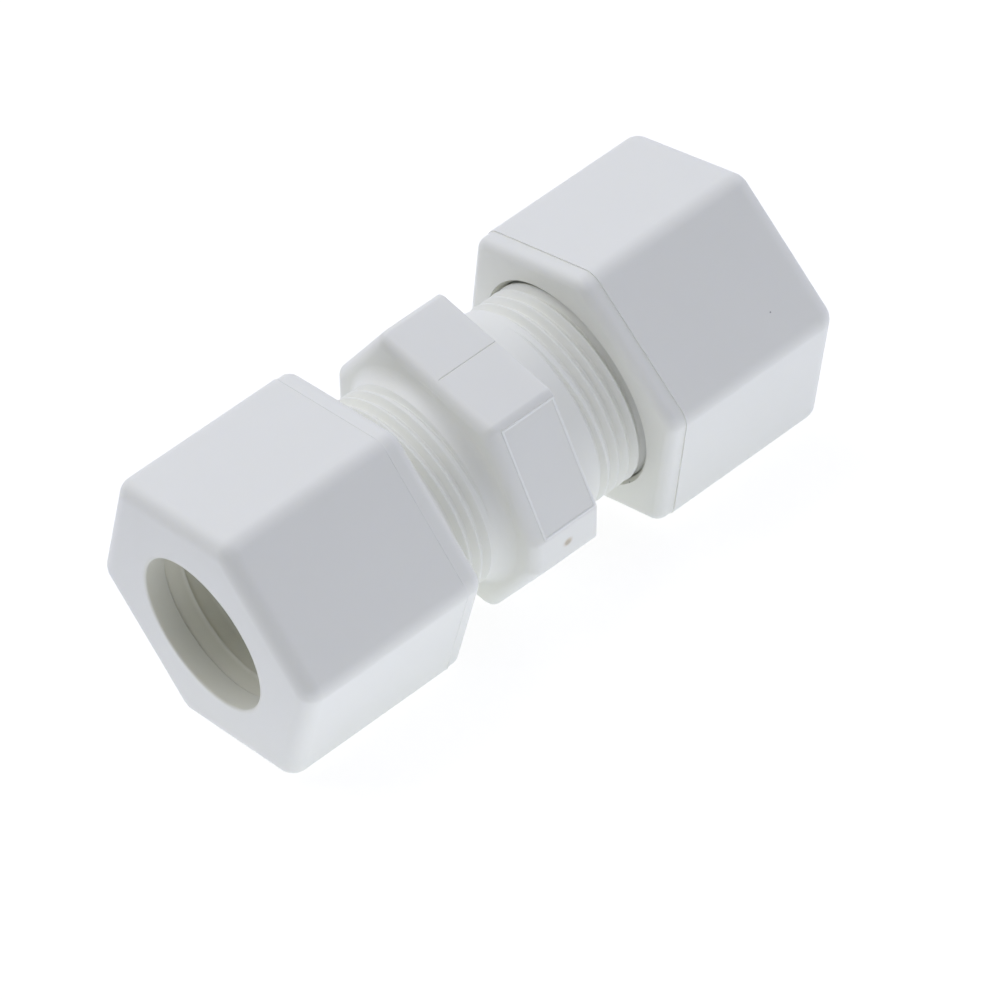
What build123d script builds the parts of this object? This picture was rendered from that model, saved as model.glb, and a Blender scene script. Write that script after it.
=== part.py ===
from build123d import *
import os

# Straight compression union for plastic tube. Millimetres, tube axis along X, +Z up.
# The origin lies on the axis, midway between the two nuts.
os.makedirs("parts", exist_ok=True)

# Driving sizes. A slack is how far that nut can still be drawn up before its rings meet.
TUBE_OD = 15.875
NUT_FLATS = 28.3
NUT_LENGTH = 21.2
NUT_TURN = 3.4
LEFT_SLACK = 3.95
RIGHT_SLACK = 5.75
NECK_WALL = 2.8
NECK_LENGTH = 13.5
HEX_FLATS = 27.0
HEX_LENGTH = 8.0
HEX_TURN = -21.0

# Clearances, each on the radius
SOCKET_CLEARANCE = 0.11
SLEEVE_CLEARANCE = 0.15
TOOTH_CLEARANCE = 0.17
HOLE_CLEARANCE = 0.31
THREAD_CLEARANCE = 0.07
HEAD_CLEARANCE = 0.4
SEAT_CLEARANCE = 0.02

# Small features of the body
SOCKET_DEPTH = 13.0
STOP_HEIGHT = 1.5
MOUTH_DEPTH = 3.2
MOUTH_FLARE = 1.2
NECK_CHAMFER = 0.7
CORNER_CUT = 1.3
HEX_CORNER_R = 0.9
HEX_LEFT_R = 1.3
HEX_RIGHT_CHAMFER = 0.25
ROOT_FLARE = 0.9

# Small features of the nuts
BAND_LENGTH = 1.9
BAND_INSET = 0.1
BAND_CHAMFER = 0.8
NUT_CORNER_R = 2.0
NUT_EDGE_R = 1.8
LEAD_IN = 0.7
LIP_LENGTH = 2.4
LIP_CHAMFER = 0.25
CONE_LENGTH = 4.0
CONE_STEP = 0.45
CONE_INSET = 0.77

# Small features of the rings
SLEEVE_HEAD = 2.0
SLEEVE_PROUD = 0.5
SLEEVE_BEVEL = 0.8
NOSE_SHARE = 0.75
GRIPPER_SHANK = 1.85
GRIPPER_TEETH = 3
TOOTH_HEIGHT = 0.35
GRIPPER_SLOT = 1.8

# Derived radii
tube_r = TUBE_OD / 2
socket_r = tube_r + SOCKET_CLEARANCE
hole_r = tube_r + HOLE_CLEARANCE
stop_r = socket_r - STOP_HEIGHT
mouth_r = socket_r + MOUTH_FLARE
thread_r = socket_r + NECK_WALL
nut_bore_r = thread_r + THREAD_CLEARANCE
cone_small_r = hole_r + CONE_STEP
cone_large_r = nut_bore_r - CONE_INSET

# Derived places: the body along X, and the nut from its inner end
shift = (LEFT_SLACK - RIGHT_SLACK) / 2
hex_left = shift - HEX_LENGTH / 2
hex_right = shift + HEX_LENGTH / 2
body_left = hex_left - NECK_LENGTH
body_right = hex_right + NECK_LENGTH
cone_end = NUT_LENGTH - LIP_LENGTH
cone_start = cone_end - CONE_LENGTH
grip_start = cone_start - GRIPPER_SHANK
nut_inner_end = body_right + SLEEVE_PROUD + SLEEVE_HEAD + RIGHT_SLACK - grip_start


def lathe(*points):
    """Solid turned about the X axis from (x, radius) corners."""
    return revolve(make_face(Polyline(*points, close=True)), Axis.X)


def hexagon(flats, turn=0):
    """Hexagon across the X axis; turn is how far its upper flat leans towards +Y."""
    return RegularPolygon(flats / 2, 6, major_radius=False, rotation=-turn)


def prism(sketch, start, length, corner_r):
    """Sketch across the X axis, drawn out along +X, with its long corners rounded."""
    block = extrude(Plane.YZ.offset(start) * sketch, length)
    return fillet(block.edges().filter_by(Axis.X), corner_r)


def make_union_body():
    """Hexagon with two corners cut flat and one end rounded over, between two necks."""
    cut_width = 2 * (HEX_FLATS / 3**0.5 - CORNER_CUT)
    cut = Rectangle(2 * HEX_FLATS, cut_width, rotation=90 - HEX_TURN)
    block = prism(hexagon(HEX_FLATS, HEX_TURN) & cut, hex_left, HEX_LENGTH, HEX_CORNER_R)
    ends = block.edges().group_by(Axis.X)
    block = chamfer(ends[-1], HEX_RIGHT_CHAMFER)
    block = fillet(block.edges().group_by(Axis.X)[0], HEX_LEFT_R)
    turned = lathe(
        (body_left, 0),
        (body_left, thread_r - NECK_CHAMFER),
        (body_left + NECK_CHAMFER, thread_r),
        (hex_left - ROOT_FLARE, thread_r),
        (hex_left, thread_r + ROOT_FLARE),
        (hex_right, thread_r + ROOT_FLARE),
        (hex_right + ROOT_FLARE, thread_r),
        (body_right - NECK_CHAMFER, thread_r),
        (body_right, thread_r - NECK_CHAMFER),
        (body_right, 0),
    )
    waterway = lathe(
        (body_left, 0),
        (body_left, mouth_r),
        (body_left + MOUTH_DEPTH, socket_r),
        (body_left + SOCKET_DEPTH, socket_r),
        (body_left + SOCKET_DEPTH, stop_r),
        (body_right - SOCKET_DEPTH, stop_r),
        (body_right - SOCKET_DEPTH, socket_r),
        (body_right - MOUTH_DEPTH, socket_r),
        (body_right, mouth_r),
        (body_right, 0),
    )
    return turned + block - waterway


def make_nut():
    """Cap nut with its inner end at x = 0 and its tube hole at +X."""
    band = prism(hexagon(NUT_FLATS - 2 * BAND_INSET), 0, BAND_LENGTH + NUT_EDGE_R, NUT_CORNER_R)
    band = chamfer(band.edges().group_by(Axis.X)[0], BAND_CHAMFER)
    shell = prism(hexagon(NUT_FLATS), BAND_LENGTH, NUT_LENGTH - BAND_LENGTH, NUT_CORNER_R)
    shell = fillet(shell.edges().group_by(Axis.X)[-1], NUT_EDGE_R)
    cavity = lathe(
        (0, 0),
        (0, nut_bore_r + LEAD_IN),
        (LEAD_IN, nut_bore_r),
        (cone_start, nut_bore_r),
        (cone_start, cone_large_r),
        (cone_end, cone_small_r),
        (cone_end, hole_r),
        (NUT_LENGTH - LIP_CHAMFER, hole_r),
        (NUT_LENGTH, hole_r + LIP_CHAMFER),
        (NUT_LENGTH, 0),
    )
    return band + shell - cavity


def make_gripper():
    """Split ring in the nut's place: a cone to the nut and sharp inner rings to the tube."""
    tip_r = tube_r + TOOTH_CLEARANCE
    pitch = (cone_end - grip_start) / GRIPPER_TEETH
    teeth = []
    for i in range(GRIPPER_TEETH):
        teeth.append((cone_end - i * pitch, tip_r + TOOTH_HEIGHT))
        teeth.append((cone_end - (i + 1) * pitch, tip_r))
    ring = lathe(
        (grip_start, cone_large_r - SEAT_CLEARANCE),
        (cone_start, cone_large_r - SEAT_CLEARANCE),
        (cone_end, cone_small_r - SEAT_CLEARANCE),
        *teeth,
    )
    slot = Box(NUT_LENGTH, GRIPPER_SLOT, 2 * thread_r)
    return ring - Pos(cone_start, 0, thread_r) * slot


def make_sleeve():
    """Wedge ring for a mouth at x = 0 that opens to +X: its nose goes in, its head stays out."""
    slope = MOUTH_FLARE / MOUTH_DEPTH
    nose = NOSE_SHARE * MOUTH_DEPTH
    bore_r = tube_r + SLEEVE_CLEARANCE
    head_r = nut_bore_r - HEAD_CLEARANCE
    seat_r = mouth_r - SEAT_CLEARANCE
    back = SLEEVE_PROUD + SLEEVE_HEAD
    return lathe(
        (-nose, bore_r),
        (-nose, seat_r - slope * nose),
        (SLEEVE_PROUD, seat_r + slope * SLEEVE_PROUD),
        (SLEEVE_PROUD, head_r),
        (back - SLEEVE_BEVEL, head_r),
        (back, head_r - SLEEVE_BEVEL),
        (back, bore_r),
    )


def on_right(solid, x, turn=0):
    """Put a piece drawn at the origin on the right-hand neck."""
    return Pos(x, 0, 0) * Rot(-turn, 0, 0) * solid


def on_left(solid, x, turn=0):
    """Put a piece drawn at the origin on the left-hand neck."""
    return Pos(x, 0, 0) * Rot(-turn, 0, 0) * Rot(0, 0, 180) * solid


nut = make_nut()
gripper = make_gripper()
sleeve = make_sleeve()
pieces = {
    "union_body": make_union_body(),
    "left_nut": on_left(nut, -nut_inner_end, -NUT_TURN),
    "right_nut": on_right(nut, nut_inner_end, NUT_TURN),
    "left_gripper": on_left(gripper, -nut_inner_end),
    "right_gripper": on_right(gripper, nut_inner_end),
    "left_sleeve": on_left(sleeve, body_left),
    "right_sleeve": on_right(sleeve, body_right),
}
for name, piece in pieces.items():
    export_step(piece, f"parts/{name}.step")
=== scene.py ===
import math

import bmesh
import bpy
from mathutils import Matrix, Vector


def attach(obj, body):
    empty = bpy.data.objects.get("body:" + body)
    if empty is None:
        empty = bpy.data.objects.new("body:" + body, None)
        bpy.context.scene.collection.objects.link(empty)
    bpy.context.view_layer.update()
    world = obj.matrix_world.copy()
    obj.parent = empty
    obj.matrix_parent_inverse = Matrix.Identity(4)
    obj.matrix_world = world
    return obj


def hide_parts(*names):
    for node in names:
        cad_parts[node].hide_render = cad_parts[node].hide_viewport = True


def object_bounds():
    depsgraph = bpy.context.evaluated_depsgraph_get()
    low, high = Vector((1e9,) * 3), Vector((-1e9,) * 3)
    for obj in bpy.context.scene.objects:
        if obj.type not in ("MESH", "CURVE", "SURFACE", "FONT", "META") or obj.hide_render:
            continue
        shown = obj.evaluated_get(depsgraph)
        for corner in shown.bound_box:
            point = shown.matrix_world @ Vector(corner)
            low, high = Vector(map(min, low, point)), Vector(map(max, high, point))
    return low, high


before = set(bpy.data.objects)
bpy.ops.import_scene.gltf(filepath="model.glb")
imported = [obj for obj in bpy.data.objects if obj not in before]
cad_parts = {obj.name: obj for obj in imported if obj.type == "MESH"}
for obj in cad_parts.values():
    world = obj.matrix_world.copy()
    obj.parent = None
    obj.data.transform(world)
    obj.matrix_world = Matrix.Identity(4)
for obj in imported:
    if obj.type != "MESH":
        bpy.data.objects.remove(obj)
cad_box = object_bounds()

# Pieces are modelled in millimetres, tube axis along X, and scaled to metres when they are done.
MM = 0.001
MERGE_DISTANCE = 0.0005
SHARP_ANGLE = math.radians(32)
CUT_REACH = 2.0

# Steps of a full turn, and segments of a rounding from the broadest to the finest
LATHE_STEPS = 144
THREAD_STEPS = 96
GATE_STEPS = 24
BROAD_SEGMENTS = 8
INNER_END_SEGMENTS = 6
ROUND_SEGMENTS = 5
FINE_SEGMENTS = 3
HAIR_SEGMENTS = 2

# Body: places along the axis from the middle of the part, then radii and roundings
BODY_LEFT = -18.4
HEX_LEFT = -4.9
HEX_RIGHT = 3.1
BODY_RIGHT = 16.6
SOCKET_DEPTH = 13.0
MOUTH_DEPTH = 3.2
NECK_R = 10.8475
SOCKET_R = 8.0475
MOUTH_R = 9.2475
STOP_R = 6.5475
NECK_CHAMFER = 0.7
NECK_END_ROUND = 0.2
MOUTH_ROUND = 0.15
STOP_ROUND = 0.2
ROOT_ROUND = 1.5

# Flange between the hexagon's ends, which carries the rounding at the root of each neck
FLANGE_R = 12.6
FLANGE_INSET = 0.03

# Hexagon of the body
HEX_FLATS = 27.0
HEX_TURN = math.radians(21)
HEX_CORNER_CUT = 1.3
HEX_REACH = HEX_FLATS / math.sqrt(3) - HEX_CORNER_CUT
HEX_CORNER_R = 0.9
HEX_LEFT_R = 1.3
HEX_RIGHT_ROUND = 0.2
HEX_HOLE_R = 9.5

# How far the sides turn at a whole corner and beside a cut one, and what still counts as that
WHOLE_CORNER = math.radians(60)
CUT_CORNER = math.radians(30)
CORNER_SLACK = math.radians(8)
SIDE_SHARE = 0.05

# Fine ridge left round a mould insert on two flats of the hexagon: along the axis, across the flat
INSERT_LEFT = -3.35
INSERT_RIGHT = 2.85
INSERT_LOW = -4.95
INSERT_HIGH = 7.1
INSERT_TURNS = (math.radians(60), math.radians(240))
RIDGE_WIDTH = 0.22
RIDGE_SLOPE = 0.2
RIDGE_HEIGHT = 0.1
RIDGE_ROUND = 0.08
RIDGE_SUNK = 0.4
RIDGE_CREASE = 0.1

# Mould marks on the body: a seam along two flats and the gate's dimple on a cut corner
SEAM_SIDE = 0.13
SEAM_TURNS = (0, math.pi)
GATE_X = -0.6
GATE_TURN = math.radians(90)
GATE_R = 0.55
GATE_DEPTH = 0.16

# Thread: right-handed, with the plain stretch beside each shoulder and the turn where its groove starts
PITCH = 1.25
THREAD_DEPTH = 0.65
THREAD_ROOT = 0.15
THREAD_CREST = 0.22
THREAD_SOFTNESS = 0.05
NUT_THREAD_DEPTH = 0.45
FADE_STEPS = 36
LEFT_PLAIN = 1.52
RIGHT_PLAIN = 3.47
LEFT_START = math.radians(250)
RIGHT_START = math.radians(-10)
ENTRY_TURNS = 3.5
NUT_THREAD_TURNS = 7

# Nuts: lengths from the inner end, then radii and roundings
NUT_FLATS = 28.3
NUT_LENGTH = 21.2
NUT_INNER_END = 11.9
NUT_TURN = math.radians(3.4)
BAND_LENGTH = 1.9
BAND_INSET = 0.1
BAND_OVERLAP = 1.5
BAND_LINE_ROUND = 0.06
NUT_CORNER_R = 2.0
NUT_OUTER_R = 1.8
NUT_INNER_R = 1.1
SEAM_RIDGE_WIDTH = 0.2
SEAM_RIDGE_HEIGHT = 0.045
SEAM_RIDGE_CORNER_R = 2.3
NUT_BORE_R = 10.9175
NUT_HOLE_R = 8.2475
LEAD_IN = 0.45
LEAD_IN_ROUND = 0.1
BORE_ROUND = 0.15
CONE_START = 14.8
CONE_END = 18.8
CONE_LARGE_R = 10.1475
CONE_SMALL_R = 8.6975
CONE_ROUND = 0.1
RIM_ROUND = 0.2
RIM_LEAN = 0.02

# Colours and gloss of the mouldings, each colour with its paler and its deeper clouds
WHITE_PALE = (0.89, 0.89, 0.81)
WHITE_DEEP = (0.87, 0.87, 0.785)
WHITE_ROUGHNESS = 0.42
CREAM_PALE = (0.85, 0.84, 0.71)
CREAM_DEEP = (0.83, 0.82, 0.68)
CREAM_ROUGHNESS = 0.38
GLOSS_BELOW = 0.05
GLOSS_ABOVE = 0.07

# Painted light near the axis, each a colour with the radius that it reaches and its fade beyond that
# Painted shade: darker, yellower walls inside the white mouldings' bores
PAINTED_SHADE_BORE = ((0.82, 0.815, 0.705), 8.3, 0.4)
# Painted highlight: paler inner tips of the rings, where their edges would catch light
PAINTED_HIGHLIGHT_TIPS = ((0.95, 0.94, 0.81), 8.12, 0.08)

# Tan spot round the gate, and painted highlight on the insert ridges by their height above the flat
SPOT_COLOUR = (0.66, 0.58, 0.43)
SPOT_R = 0.25
SPOT_EDGE_R = 0.75
SPOT_STRENGTH = 0.75
RIDGE_HIGHLIGHT_COLOUR = (0.97, 0.975, 0.89)
RIDGE_HIGHLIGHT_FROM = 0.02
RIDGE_HIGHLIGHT_FULL = 0.08
RIDGE_HIGHLIGHT_STRENGTH = 0.8

# Specks, sized as shares of their spacing; the rarity is the share of places that stay clean
SPECK_COLOUR = (0.22, 0.2, 0.17)
SPECK_CORE = 0.02
SPECK_EDGE = 0.035
SPECK_RARITY = 0.93

# Places of the two colours and of the result among a colour mix node's sockets
MIX_FIRST = 6
MIX_SECOND = 7
MIX_RESULT = 2

# Camera, lens and the place of the part in the picture
VIEW_AZIMUTH = math.radians(29.4)
VIEW_ELEVATION = math.radians(35.0)
VIEW_ROLL = math.radians(-17.0)
VIEW_DISTANCE = 0.594
IMAGE_SIDE = 1000
PIXELS_PER_MM = 10.6
IMAGE_CENTRE = (472, 448)
SENSOR = 36.0

# Light tent: levels at the horizon and overhead, and its dark opening as seen from the part
DOME_LOW = 0.38
DOME_HIGH = 0.9
SKY_COLOUR = (0.95, 0.98, 1.18, 1)
OPENING = Vector((-0.8, -0.55, 0.1)).normalized()
OPENING_EDGE = 0.1
OPENING_MIDDLE = 0.95
OPENING_LEVEL = 0.12
SOFTBOX_SIZE = 0.7
SOFTBOX_POWER = 2.0
SOFTBOX_PLACE = (-0.15, 0.3, 0.75)

# Floor as the camera sees it, and as it lights the part: brightest near one place, less further off
FLOOR_SIZE = 2.0
FLOOR_PAINT_SEEN = 0.3
FLOOR_GLOW_SEEN = 0.82
FLOOR_COLOUR_SEEN = (1, 1, 1)
FLOOR_PAINT = 0.85
BOUNCE_COLOUR = (0.96, 1.0, 1.12)
BOUNCE_CENTRE = Vector((-0.012, -0.02, -0.015))
BOUNCE_NEAR = 0.03
BOUNCE_FAR = 0.12
BOUNCE_HIGH = 0.455
BOUNCE_LOW = 0.12


def along(x):
    """Shift along the tube axis."""
    return Matrix.Translation((x, 0, 0))


def turned(angle):
    """Turn about the tube axis."""
    return Matrix.Rotation(angle, 4, "X")


# From a neck or a nut that runs from x = 0 to +X to its own place on the part
END_FOR_END = Matrix.Rotation(math.pi, 4, "Z")
RIGHT_NECK = along(HEX_RIGHT) @ turned(RIGHT_START)
LEFT_NECK = along(HEX_LEFT) @ END_FOR_END @ turned(LEFT_START)
RIGHT_SEAT = along(NUT_INNER_END) @ turned(-NUT_TURN)
LEFT_SEAT = along(-NUT_INNER_END) @ (turned(NUT_TURN) @ END_FOR_END)


def new_piece(name, bm):
    """Object at the origin from a bmesh, with doubles merged and faces turned outwards."""
    bmesh.ops.remove_doubles(bm, verts=bm.verts, dist=MERGE_DISTANCE)
    bmesh.ops.recalc_face_normals(bm, faces=bm.faces)
    mesh = bpy.data.meshes.new(name)
    bm.to_mesh(mesh)
    bm.free()
    piece = bpy.data.objects.new(name, mesh)
    bpy.context.scene.collection.objects.link(piece)
    return piece


def place(piece, matrix):
    """Move a piece's mesh, with its object left at the origin."""
    piece.data.transform(matrix)


def combine(piece, tool, operation):
    """Unite a tool with a piece or cut it away, and drop the tool."""
    modifier = piece.modifiers.new("combine", "BOOLEAN")
    modifier.operation = operation
    modifier.solver = "EXACT"
    modifier.object = tool
    graph = bpy.context.evaluated_depsgraph_get()
    piece.data = bpy.data.meshes.new_from_object(piece.evaluated_get(graph))
    piece.modifiers.clear()
    bpy.data.objects.remove(tool)
    bm = bmesh.new()
    bm.from_mesh(piece.data)
    bmesh.ops.dissolve_degenerate(bm, dist=MERGE_DISTANCE, edges=bm.edges)
    bm.to_mesh(piece.data)
    bm.free()


def soften(bm, line, corners, segments):
    """Round each corner of an outline that has a rounding."""
    for vert, (_, _, rounding) in zip(line, corners):
        if rounding:
            bmesh.ops.bevel(
                bm, geom=[vert], offset=rounding, offset_type="OFFSET", affect="VERTICES",
                segments=segments, profile=0.5, material=-1,
            )


def bevel_edges(bm, edges, offset, segments):
    """Round a set of edges."""
    bmesh.ops.bevel(
        bm, geom=edges, offset=offset, offset_type="OFFSET", affect="EDGES",
        segments=segments, profile=0.5, material=-1,
    )


def rim_edges(bm, x):
    """Edges that lie in the plane at x."""
    return [e for e in bm.edges if all(abs(v.co.x - x) < MERGE_DISTANCE for v in e.verts)]


def corner_edges(bm, angle):
    """Edges between two sides of a prism that turn by about this angle, over rounded ends too."""
    found = []
    for edge in bm.edges:
        sides = [Vector(face.normal.yz) for face in edge.link_faces]
        if all(side.length > SIDE_SHARE for side in sides):
            if abs(sides[0].angle(sides[1]) - angle) < CORNER_SLACK:
                found.append(edge)
    return found


def lathe(name, corners, closed):
    """Piece turned about the X axis from (x, radius, rounding) corners.

    A line that isn't closed starts and ends on the axis.
    """
    bm = bmesh.new()
    line = [bm.verts.new((x, 0, radius)) for x, radius, _ in corners]
    ends = line[1:]
    if closed:
        ends.append(line[0])
    for start, end in zip(line, ends):
        bm.edges.new((start, end))
    soften(bm, line, corners, ROUND_SEGMENTS)
    bmesh.ops.spin(
        bm, geom=bm.verts[:] + bm.edges[:], cent=(0, 0, 0), axis=(1, 0, 0),
        angle=math.tau, steps=LATHE_STEPS, use_merge=True,
    )
    return new_piece(name, bm)


def coil(name, outline, start, turns, rise=0):
    """Helical bar about the X axis from (x, radius, rounding) corners, sinking in from a rise."""
    bm = bmesh.new()
    section = [bm.verts.new((start + x, 0, radius + rise)) for x, radius, _ in outline]
    bm.faces.new(section)
    soften(bm, section, outline, FINE_SEGMENTS)
    step = math.tau / THREAD_STEPS
    advance = PITCH / THREAD_STEPS
    last = bm.verts[:] + bm.edges[:] + bm.faces[:]
    if rise:
        last = bmesh.ops.spin(
            bm, geom=last, cent=(0, 0, 0), axis=(1, 0, 0), angle=step * FADE_STEPS,
            steps=FADE_STEPS, dvec=(advance, 0, -rise / FADE_STEPS),
        )["geom_last"]
    bmesh.ops.spin(
        bm, geom=last, cent=(0, 0, 0), axis=(1, 0, 0), angle=math.tau * turns,
        steps=round(turns * THREAD_STEPS), dvec=(advance, 0, 0),
    )
    return new_piece(name, bm)


def box(bm, low, high):
    """Box between two corners."""
    bmesh.ops.create_cube(bm, size=1)
    bmesh.ops.scale(bm, vec=Vector(high) - Vector(low), verts=bm.verts)
    bmesh.ops.translate(bm, vec=(Vector(high) + Vector(low)) / 2, verts=bm.verts)


def hexagon(bm, flats, x):
    """Hexagonal face across the X axis with a flat on top."""
    made = bmesh.ops.create_circle(bm, cap_ends=True, segments=6, radius=flats / math.sqrt(3))
    across = Matrix(((0, 0, 1, x), (0, 1, 0, 0), (1, 0, 0, 0), (0, 0, 0, 1)))
    bmesh.ops.transform(bm, matrix=across, verts=made["verts"])


def draw_out(bm, length):
    """Extrude the only face along +X."""
    made = bmesh.ops.extrude_face_region(bm, geom=bm.faces[:])["geom"]
    verts = [v for v in made if isinstance(v, bmesh.types.BMVert)]
    bmesh.ops.translate(bm, vec=(length, 0, 0), verts=verts)
    bmesh.ops.recalc_face_normals(bm, faces=bm.faces)


def nut_block(flats, start, length, corner_r):
    """Hexagonal block along +X with a flat on top and its six long corners rounded."""
    bm = bmesh.new()
    hexagon(bm, flats, start)
    draw_out(bm, length)
    corner = corner_r * math.tan(WHOLE_CORNER / 2)
    bevel_edges(bm, corner_edges(bm, WHOLE_CORNER), corner, BROAD_SEGMENTS)
    return bm


def neck_groove(name, plain, length):
    """Groove cutter for a neck that runs from x = 0 to +X, fading in after the plain stretch."""
    half_root = THREAD_ROOT / 2
    half_gap = (PITCH - THREAD_CREST) / 2
    half_brim = half_gap + 2 * THREAD_SOFTNESS
    low = NECK_R - THREAD_DEPTH
    edge = NECK_R - THREAD_SOFTNESS
    brim = NECK_R + THREAD_SOFTNESS
    high = NECK_R + THREAD_DEPTH / 2
    outline = [
        (-half_root, low, THREAD_SOFTNESS),
        (half_root, low, THREAD_SOFTNESS),
        (half_gap, edge, THREAD_SOFTNESS),
        (half_brim, brim, 0),
        (half_brim, high, 0),
        (-half_brim, high, 0),
        (-half_brim, brim, 0),
        (-half_gap, edge, THREAD_SOFTNESS),
    ]
    turns = (length - plain) / PITCH
    return coil(name, outline, plain, turns, rise=THREAD_DEPTH + 2 * THREAD_SOFTNESS)


def nut_groove(name, plain):
    """Groove cutter for a nut's bore, in step with the crests of a neck from x = 0 to +X."""
    half_root = THREAD_ROOT / 2
    half_gap = (PITCH - THREAD_CREST) / 2
    edge = NUT_BORE_R - THREAD_SOFTNESS
    deep = NUT_BORE_R + NUT_THREAD_DEPTH
    outline = [
        (-half_gap, edge, 0),
        (-half_root, deep, THREAD_SOFTNESS),
        (half_root, deep, THREAD_SOFTNESS),
        (half_gap, edge, 0),
    ]
    return coil(name, outline, plain + ENTRY_TURNS * PITCH, NUT_THREAD_TURNS)


def insert_ridge(name, flat):
    """Fine raised frame on a flat that faces +Z: a tray whose floor stays below the flat."""
    bm = bmesh.new()
    half = RIDGE_WIDTH / 2
    low = (INSERT_LEFT - half, INSERT_LOW - half, flat - RIDGE_SUNK)
    high = (INSERT_RIGHT + half, INSERT_HIGH + half, flat + RIDGE_HEIGHT)
    box(bm, low, high)
    lid = max(bm.faces, key=lambda face: face.calc_center_median().z)
    for step in (RIDGE_WIDTH, RIDGE_SLOPE):
        bmesh.ops.inset_region(bm, faces=[lid], thickness=step, use_even_offset=True)
    bmesh.ops.translate(bm, vec=(0, 0, -RIDGE_HEIGHT - RIDGE_SUNK / 2), verts=lid.verts)
    bm.normal_update()
    raised = [e for e in bm.edges if all(v.co.z > flat for v in e.verts)]
    rims = [e for e in raised if e.calc_face_angle() > RIDGE_CREASE]
    bevel_edges(bm, rims, RIDGE_ROUND, FINE_SEGMENTS)
    return new_piece(name, bm)


def mark_hexagon(block):
    """Leave the mould's marks on the hexagon: insert ridges, seams and the gate's dimple."""
    flat = HEX_FLATS / 2
    for turn in INSERT_TURNS:
        ridge = insert_ridge("ridge", flat)
        place(ridge, turned(turn))
        combine(block, ridge, "UNION")
    half = SEAM_SIDE / 2
    for turn in SEAM_TURNS:
        bm = bmesh.new()
        box(bm, (HEX_LEFT, -half, -half), (HEX_RIGHT + CUT_REACH, half, half))
        seam = new_piece("seam", bm)
        place(seam, turned(turn) @ Matrix.Translation((0, 0, flat)) @ turned(math.pi / 4))
        combine(block, seam, "DIFFERENCE")
    bm = bmesh.new()
    bmesh.ops.create_uvsphere(bm, u_segments=GATE_STEPS, v_segments=GATE_STEPS // 2, radius=GATE_R)
    gate = new_piece("gate", bm)
    gate_height = HEX_REACH + GATE_R - GATE_DEPTH
    place(gate, turned(GATE_TURN) @ Matrix.Translation((GATE_X, 0, gate_height)))
    combine(block, gate, "DIFFERENCE")


def model_hexagon():
    """Hexagon of the body, flat on top: two corners cut, left end rounded over, and mould marks."""
    bm = bmesh.new()
    hexagon(bm, HEX_FLATS, HEX_LEFT)
    for side in (-1, 1):
        bmesh.ops.bisect_plane(
            bm, geom=bm.verts[:] + bm.edges[:] + bm.faces[:], plane_co=(0, side * HEX_REACH, 0),
            plane_no=(0, side, 0), clear_outer=True,
        )
    draw_out(bm, HEX_RIGHT - HEX_LEFT)
    bevel_edges(bm, rim_edges(bm, HEX_LEFT), HEX_LEFT_R, BROAD_SEGMENTS)
    bevel_edges(bm, rim_edges(bm, HEX_RIGHT), HEX_RIGHT_ROUND, FINE_SEGMENTS)
    for angle in (WHOLE_CORNER, CUT_CORNER):
        bevel_edges(bm, corner_edges(bm, angle), HEX_CORNER_R * math.tan(angle / 2), ROUND_SEGMENTS)
    block = new_piece("hexagon", bm)
    mark_hexagon(block)
    return block


def model_body():
    """Threaded body: turned core, hexagon and a groove along each neck."""
    core = lathe("threaded_body", [
        (BODY_LEFT, NECK_R - NECK_CHAMFER, NECK_END_ROUND),
        (BODY_LEFT + NECK_CHAMFER, NECK_R, NECK_END_ROUND),
        (HEX_LEFT + FLANGE_INSET, NECK_R, ROOT_ROUND),
        (HEX_LEFT + FLANGE_INSET, FLANGE_R, 0),
        (HEX_RIGHT - FLANGE_INSET, FLANGE_R, 0),
        (HEX_RIGHT - FLANGE_INSET, NECK_R, ROOT_ROUND),
        (BODY_RIGHT - NECK_CHAMFER, NECK_R, NECK_END_ROUND),
        (BODY_RIGHT, NECK_R - NECK_CHAMFER, NECK_END_ROUND),
        (BODY_RIGHT, MOUTH_R, MOUTH_ROUND),
        (BODY_RIGHT - MOUTH_DEPTH, SOCKET_R, MOUTH_ROUND),
        (BODY_RIGHT - SOCKET_DEPTH, SOCKET_R, 0),
        (BODY_RIGHT - SOCKET_DEPTH, STOP_R, STOP_ROUND),
        (BODY_LEFT + SOCKET_DEPTH, STOP_R, STOP_ROUND),
        (BODY_LEFT + SOCKET_DEPTH, SOCKET_R, 0),
        (BODY_LEFT + MOUTH_DEPTH, SOCKET_R, MOUTH_ROUND),
        (BODY_LEFT, MOUTH_R, MOUTH_ROUND),
    ], closed=True)
    block = model_hexagon()
    place(block, turned(HEX_TURN))
    hole = lathe("hole", [
        (HEX_LEFT - CUT_REACH, 0, 0),
        (HEX_LEFT - CUT_REACH, HEX_HOLE_R, 0),
        (HEX_RIGHT + CUT_REACH, HEX_HOLE_R, 0),
        (HEX_RIGHT + CUT_REACH, 0, 0),
    ], closed=False)
    combine(block, hole, "DIFFERENCE")
    combine(core, block, "UNION")
    right = neck_groove("right_groove", RIGHT_PLAIN, BODY_RIGHT - HEX_RIGHT)
    place(right, RIGHT_NECK)
    combine(core, right, "DIFFERENCE")
    left = neck_groove("left_groove", LEFT_PLAIN, HEX_LEFT - BODY_LEFT)
    place(left, LEFT_NECK)
    combine(core, left, "DIFFERENCE")
    return core


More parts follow.
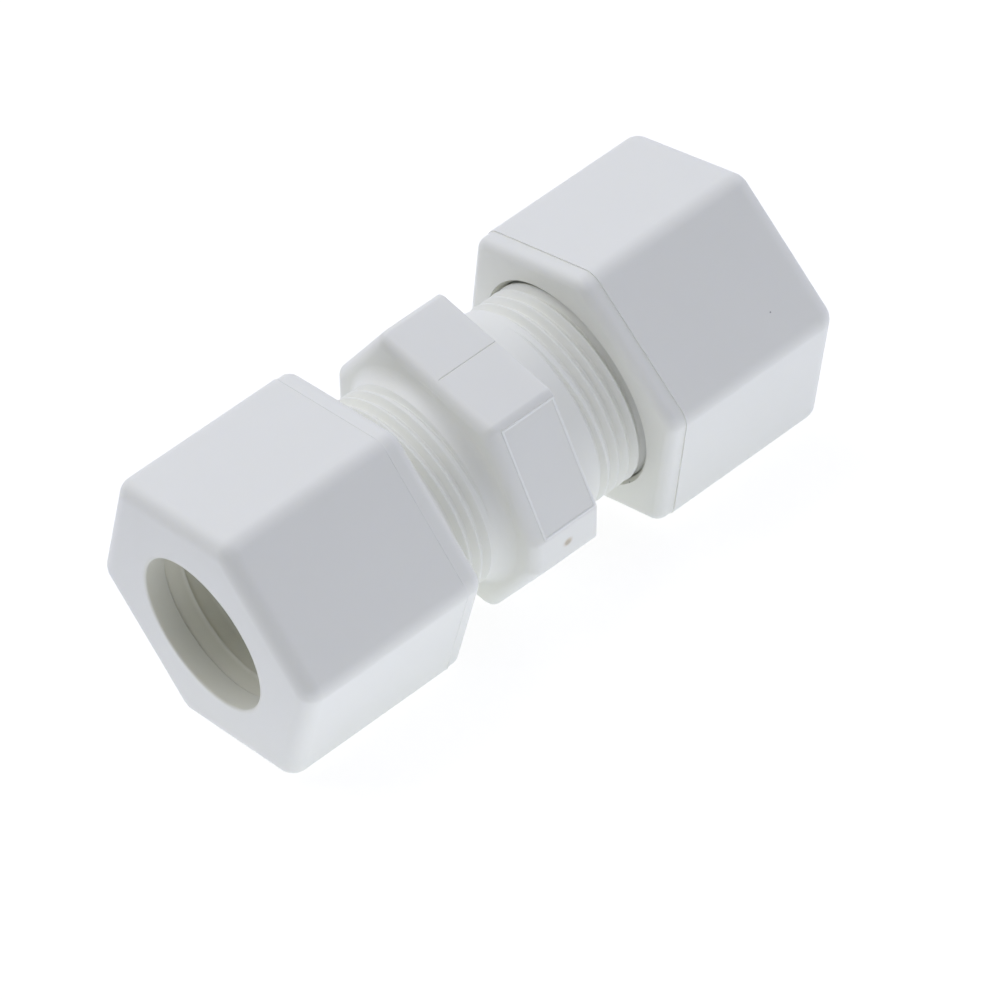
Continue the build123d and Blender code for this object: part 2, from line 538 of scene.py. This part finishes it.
def model_nut(name):
    """Cap nut with its inner end at x = 0: a hexagon in two steps, hollowed for neck, ring and tube."""
    bm = nut_block(NUT_FLATS, BAND_LENGTH, NUT_LENGTH - BAND_LENGTH, NUT_CORNER_R)
    bevel_edges(bm, rim_edges(bm, NUT_LENGTH), NUT_OUTER_R, BROAD_SEGMENTS)
    bevel_edges(bm, rim_edges(bm, BAND_LENGTH), BAND_LINE_ROUND, HAIR_SEGMENTS)
    nut = new_piece(name, bm)
    bm = nut_block(NUT_FLATS - 2 * BAND_INSET, 0, BAND_LENGTH + BAND_OVERLAP, NUT_CORNER_R)
    bevel_edges(bm, rim_edges(bm, 0), NUT_INNER_R, INNER_END_SEGMENTS)
    combine(nut, new_piece("band", bm), "UNION")
    ridge_flats = NUT_FLATS + 2 * SEAM_RIDGE_HEIGHT
    bm = nut_block(ridge_flats, BAND_LENGTH, SEAM_RIDGE_WIDTH, SEAM_RIDGE_CORNER_R)
    rims = rim_edges(bm, BAND_LENGTH) + rim_edges(bm, BAND_LENGTH + SEAM_RIDGE_WIDTH)
    bevel_edges(bm, rims, SEAM_RIDGE_HEIGHT, HAIR_SEGMENTS)
    combine(nut, new_piece("seam_ridge", bm), "UNION")
    cavity = lathe("cavity", [
        (-CUT_REACH, 0, 0),
        (-CUT_REACH, NUT_BORE_R + LEAD_IN, 0),
        (0, NUT_BORE_R + LEAD_IN, LEAD_IN_ROUND),
        (LEAD_IN, NUT_BORE_R, BORE_ROUND),
        (CONE_START, NUT_BORE_R, 0),
        (CONE_START, CONE_LARGE_R, CONE_ROUND),
        (CONE_END, CONE_SMALL_R, 0),
        (CONE_END, NUT_HOLE_R, CONE_ROUND),
        (NUT_LENGTH, NUT_HOLE_R, RIM_ROUND),
        (NUT_LENGTH + RIM_LEAN, NUT_HOLE_R + CUT_REACH, 0),
        (NUT_LENGTH + CUT_REACH, NUT_HOLE_R + CUT_REACH, 0),
        (NUT_LENGTH + CUT_REACH, 0, 0),
    ], closed=False)
    combine(nut, cavity, "DIFFERENCE")
    return nut


def fitted_nut(name, seat, neck, plain):
    """Cap nut in its own place, with its thread cut in step with its neck's."""
    nut = model_nut(name)
    place(nut, seat)
    groove = nut_groove("nut_groove", plain)
    place(groove, neck)
    combine(nut, groove, "DIFFERENCE")
    return nut


def node(tree, kind, **values):
    """Add a shader node; a value names a socket, with underscores for spaces, or else a property."""
    made = tree.nodes.new(kind)
    for key, value in values.items():
        socket = made.inputs.get(key.replace("_", " "))
        if socket is None:
            setattr(made, key, value)
        else:
            socket.default_value = value
    return made


def blend(tree, factor, first, second):
    """Mix a plain second colour by a factor into a first one, which is plain or comes from a node."""
    mix = node(tree, "ShaderNodeMix", data_type="RGBA")
    mix.inputs[MIX_SECOND].default_value = (*second, 1)
    tree.links.new(factor, mix.inputs["Factor"])
    if isinstance(first, tuple):
        mix.inputs[MIX_FIRST].default_value = (*first, 1)
    else:
        tree.links.new(first, mix.inputs[MIX_FIRST])
    return mix.outputs[MIX_RESULT]


def ramp(tree, value, low, high, first, last, change="SMOOTHSTEP"):
    """Number that goes from first to last while a value goes from low to high, and stays beyond."""
    made = node(
        tree, "ShaderNodeMapRange", interpolation_type=change,
        From_Min=low, From_Max=high, To_Min=first, To_Max=last,
    )
    tree.links.new(value, made.inputs["Value"])
    return made.outputs["Result"]


def near_axis(tree, place_of, radius, fade):
    """How much of a wall is nearer the tube axis than a radius, with a soft change beyond it."""
    across = node(tree, "ShaderNodeVectorMath", operation="MULTIPLY")
    across.inputs[1].default_value = (0, 1, 1)
    distance = node(tree, "ShaderNodeVectorMath", operation="LENGTH")
    tree.links.new(place_of, across.inputs[0])
    tree.links.new(across.outputs["Vector"], distance.inputs[0])
    return ramp(tree, distance.outputs["Value"], radius * MM, (radius + fade) * MM, 1.0, 0.0)


def gate_spot(tree, place_of):
    """Strength of the tan spot round the gate's dimple."""
    away = node(tree, "ShaderNodeVectorMath", operation="DISTANCE")
    away.inputs[1].default_value = turned(HEX_TURN + GATE_TURN) @ Vector((GATE_X, 0, HEX_REACH)) * MM
    tree.links.new(place_of, away.inputs[0])
    return ramp(tree, away.outputs["Value"], SPOT_R * MM, SPOT_EDGE_R * MM, SPOT_STRENGTH, 0.0)


def painted_ridge_highlight(tree, place_of):
    """Strength of the painted highlight on the insert ridges, which stand above two opposite flats."""
    height = node(tree, "ShaderNodeVectorMath", operation="DOT_PRODUCT")
    height.inputs[1].default_value = turned(HEX_TURN + INSERT_TURNS[0]) @ Vector((0, 0, 1))
    outward = node(tree, "ShaderNodeMath", operation="ABSOLUTE")
    tree.links.new(place_of, height.inputs[0])
    tree.links.new(height.outputs["Value"], outward.inputs[0])
    start = (HEX_FLATS / 2 + RIDGE_HIGHLIGHT_FROM) * MM
    full = (HEX_FLATS / 2 + RIDGE_HIGHLIGHT_FULL) * MM
    return ramp(tree, outward.outputs["Value"], start, full, 0.0, RIDGE_HIGHLIGHT_STRENGTH)


def specks(tree, place_of):
    """Where the rare dark specks are."""
    link = tree.links.new
    cells = node(tree, "ShaderNodeTexVoronoi", Scale=330.0)
    hue = node(tree, "ShaderNodeSeparateColor")
    rare = node(tree, "ShaderNodeMath", operation="GREATER_THAN")
    rare.inputs[1].default_value = SPECK_RARITY
    pick = node(tree, "ShaderNodeMath", operation="MULTIPLY")
    link(place_of, cells.inputs["Vector"])
    link(cells.outputs["Color"], hue.inputs["Color"])
    link(hue.outputs["Red"], rare.inputs[0])
    dots = ramp(tree, cells.outputs["Distance"], SPECK_CORE, SPECK_EDGE, 1.0, 0.0, "LINEAR")
    link(dots, pick.inputs[0])
    link(rare.outputs["Value"], pick.inputs[1])
    return pick.outputs["Value"]


def moulded_plastic(name, pale, deep, roughness, painted_inner_light, marks_and_highlight=False):
    """Satin moulded plastic: clouded colour, rare specks, uneven gloss and a fine grain.

    The painted inner light goes on walls nearer the axis than its radius, with a soft change beyond it.
    Marked plastic has the tan gate spot and the painted highlight on the body's insert ridges.
    """
    material = bpy.data.materials.new(name)
    material.use_nodes = True
    tree = material.node_tree
    link = tree.links.new
    shader = tree.nodes["Principled BSDF"]
    shader.inputs["IOR"].default_value = 1.49
    shader.inputs["Subsurface Weight"].default_value = 0.35
    shader.inputs["Subsurface Radius"].default_value = (1.0, 0.97, 0.85)
    shader.inputs["Subsurface Scale"].default_value = 0.7 * MM
    place_of = node(tree, "ShaderNodeTexCoord").outputs["Object"]

    cloud = node(tree, "ShaderNodeTexNoise", Scale=140.0, Detail=4.0, Roughness=0.6)
    link(place_of, cloud.inputs["Vector"])
    clouds = cloud.outputs["Fac"]
    colour = blend(tree, clouds, pale, deep)
    painted_inner_colour, inner_r, fade = painted_inner_light
    # Painted light near the axis: shade on the white mouldings' bore walls, highlight on the rings'
    # inner tips
    colour = blend(tree, near_axis(tree, place_of, inner_r, fade), colour, painted_inner_colour)
    if marks_and_highlight:
        colour = blend(tree, gate_spot(tree, place_of), colour, SPOT_COLOUR)
        # Painted highlight: the insert ridges are paler by their height above the flat, where their
        # rounded tops would catch light
        colour = blend(tree, painted_ridge_highlight(tree, place_of), colour, RIDGE_HIGHLIGHT_COLOUR)
    colour = blend(tree, specks(tree, place_of), colour, SPECK_COLOUR)
    link(colour, shader.inputs["Base Color"])

    glossiest = roughness - GLOSS_BELOW
    dullest = roughness + GLOSS_ABOVE
    link(ramp(tree, clouds, 0.0, 1.0, glossiest, dullest, "LINEAR"), shader.inputs["Roughness"])
    grain = node(tree, "ShaderNodeTexNoise", Scale=2600.0, Detail=3.0)
    relief = node(tree, "ShaderNodeBump", Strength=0.06, Distance=0.05 * MM)
    link(place_of, grain.inputs["Vector"])
    link(grain.outputs["Fac"], relief.inputs["Height"])
    link(relief.outputs["Normal"], shader.inputs["Normal"])
    return material


def dress(piece, body, cad_node, material):
    """Scale a finished piece to metres, shade it, and seat it in the frame."""
    place(piece, Matrix.Scale(MM, 4))
    piece.data.shade_smooth()
    piece.data.set_sharp_from_angle(angle=SHARP_ANGLE)
    normals = piece.modifiers.new("flat_faces", "WEIGHTED_NORMAL")
    normals.keep_sharp = True
    piece.data.materials.clear()
    piece.data.materials.append(material)
    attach(piece, body)
    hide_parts(cad_node)


def lay_floor():
    """White table under the part: even and neutral to the camera, a soft reflector to the part."""
    bm = bmesh.new()
    bmesh.ops.create_grid(bm, x_segments=1, y_segments=1, size=FLOOR_SIZE)
    bmesh.ops.translate(bm, vec=(0, 0, cad_box[0].z), verts=bm.verts)
    floor = new_piece("floor", bm)
    material = bpy.data.materials.new("white_floor")
    material.use_nodes = True
    tree = material.node_tree
    tree.nodes.clear()
    link = tree.links.new
    seen = node(tree, "ShaderNodeLightPath").outputs["Is Camera Ray"]
    away = node(tree, "ShaderNodeVectorMath", operation="DISTANCE")
    away.inputs[1].default_value = BOUNCE_CENTRE
    link(node(tree, "ShaderNodeTexCoord").outputs["Object"], away.inputs[0])
    distance = away.outputs["Value"]
    bounce = ramp(tree, distance, BOUNCE_NEAR, BOUNCE_FAR, BOUNCE_HIGH, BOUNCE_LOW, "LINEAR")
    level = node(tree, "ShaderNodeMapRange", To_Max=FLOOR_GLOW_SEEN)
    link(seen, level.inputs["Value"])
    link(bounce, level.inputs["To Min"])
    paint = node(tree, "ShaderNodeBsdfDiffuse")
    glow = node(tree, "ShaderNodeEmission")
    both = node(tree, "ShaderNodeAddShader")
    out = node(tree, "ShaderNodeOutputMaterial")
    shade = ramp(tree, seen, 0.0, 1.0, FLOOR_PAINT, FLOOR_PAINT_SEEN, "LINEAR")
    link(shade, paint.inputs["Color"])
    link(blend(tree, seen, BOUNCE_COLOUR, FLOOR_COLOUR_SEEN), glow.inputs["Color"])
    link(level.outputs["Result"], glow.inputs["Strength"])
    link(paint.outputs["BSDF"], both.inputs[0])
    link(glow.outputs["Emission"], both.inputs[1])
    link(both.outputs["Shader"], out.inputs["Surface"])
    floor.data.materials.append(material)


def light_studio():
    """Light tent, bright overhead, dimmer low down and dark at its opening, and a softbox above."""
    world = bpy.data.worlds.new("light_tent")
    world.use_nodes = True
    tree = world.node_tree
    link = tree.links.new
    towards = node(tree, "ShaderNodeTexCoord").outputs["Generated"]
    height = node(tree, "ShaderNodeSeparateXYZ")
    facing = node(tree, "ShaderNodeVectorMath", operation="DOT_PRODUCT")
    facing.inputs[1].default_value = OPENING
    link(towards, height.inputs["Vector"])
    link(towards, facing.inputs[0])
    dome = ramp(tree, height.outputs["Z"], 0.0, 1.0, DOME_LOW, DOME_HIGH, "LINEAR")
    opening = ramp(tree, facing.outputs["Value"], OPENING_EDGE, OPENING_MIDDLE, 1.0, OPENING_LEVEL)
    level = node(tree, "ShaderNodeMath", operation="MULTIPLY")
    link(dome, level.inputs[0])
    link(opening, level.inputs[1])
    sky = tree.nodes["Background"]
    sky.inputs["Color"].default_value = SKY_COLOUR
    link(level.outputs["Value"], sky.inputs["Strength"])
    bpy.context.scene.world = world

    lamp = bpy.data.lights.new("softbox", "AREA")
    lamp.shape = "SQUARE"
    lamp.size = SOFTBOX_SIZE
    lamp.energy = SOFTBOX_POWER
    softbox = bpy.data.objects.new("softbox", lamp)
    softbox.location = SOFTBOX_PLACE
    softbox.rotation_euler = (-softbox.location).to_track_quat("-Z", "Y").to_euler()
    bpy.context.scene.collection.objects.link(softbox)


def view_directions():
    """The camera's forward, right and up."""
    forward = Vector((
        math.sin(VIEW_AZIMUTH) * math.cos(VIEW_ELEVATION),
        math.cos(VIEW_AZIMUTH) * math.cos(VIEW_ELEVATION),
        -math.sin(VIEW_ELEVATION),
    ))
    level = forward.cross((0, 0, 1)).normalized()
    upright = level.cross(forward)
    right = level * math.cos(VIEW_ROLL) + upright * math.sin(VIEW_ROLL)
    return forward, right, right.cross(forward)


def set_camera():
    """Camera at the photograph's viewing angle, with the part at its place in the picture."""
    forward, right, up = view_directions()
    middle = IMAGE_SIDE / 2
    aside = right * (middle - IMAGE_CENTRE[0]) - up * (middle - IMAGE_CENTRE[1])
    lens = bpy.data.cameras.new("camera")
    lens.sensor_width = SENSOR
    lens.lens = PIXELS_PER_MM / MM * VIEW_DISTANCE / IMAGE_SIDE * SENSOR
    camera = bpy.data.objects.new("camera", lens)
    turn = Matrix((right, up, -forward)).transposed().to_4x4()
    spot = aside * (MM / PIXELS_PER_MM) - forward * VIEW_DISTANCE
    camera.matrix_world = Matrix.Translation(spot) @ turn
    bpy.context.scene.collection.objects.link(camera)
    bpy.context.scene.camera = camera


# The white mouldings carry painted shade on their bore walls
white = moulded_plastic("white_moulding", WHITE_PALE, WHITE_DEEP, WHITE_ROUGHNESS, PAINTED_SHADE_BORE)
# The body's moulding has the real gate spot and a painted highlight on its insert ridges
marks_and_highlight = moulded_plastic(
    "body_moulding", WHITE_PALE, WHITE_DEEP, WHITE_ROUGHNESS, PAINTED_SHADE_BORE, marks_and_highlight=True
)
# The rings carry a painted highlight on their inner tips
cream = moulded_plastic("ring_moulding", CREAM_PALE, CREAM_DEEP, CREAM_ROUGHNESS, PAINTED_HIGHLIGHT_TIPS)

dress(model_body(), "body", "union_body", marks_and_highlight)
right_nut = fitted_nut("right_cap_nut", RIGHT_SEAT, RIGHT_NECK, RIGHT_PLAIN)
dress(right_nut, "right_cap", "right_nut", white)
left_nut = fitted_nut("left_cap_nut", LEFT_SEAT, LEFT_NECK, LEFT_PLAIN)
dress(left_nut, "left_cap", "left_nut", white)

for ring in ("left_gripper", "right_gripper", "left_sleeve", "right_sleeve"):
    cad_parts[ring].data.materials.clear()
    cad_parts[ring].data.materials.append(cream)

lay_floor()
light_studio()
set_camera()
bpy.context.scene.view_settings.view_transform = "Standard"
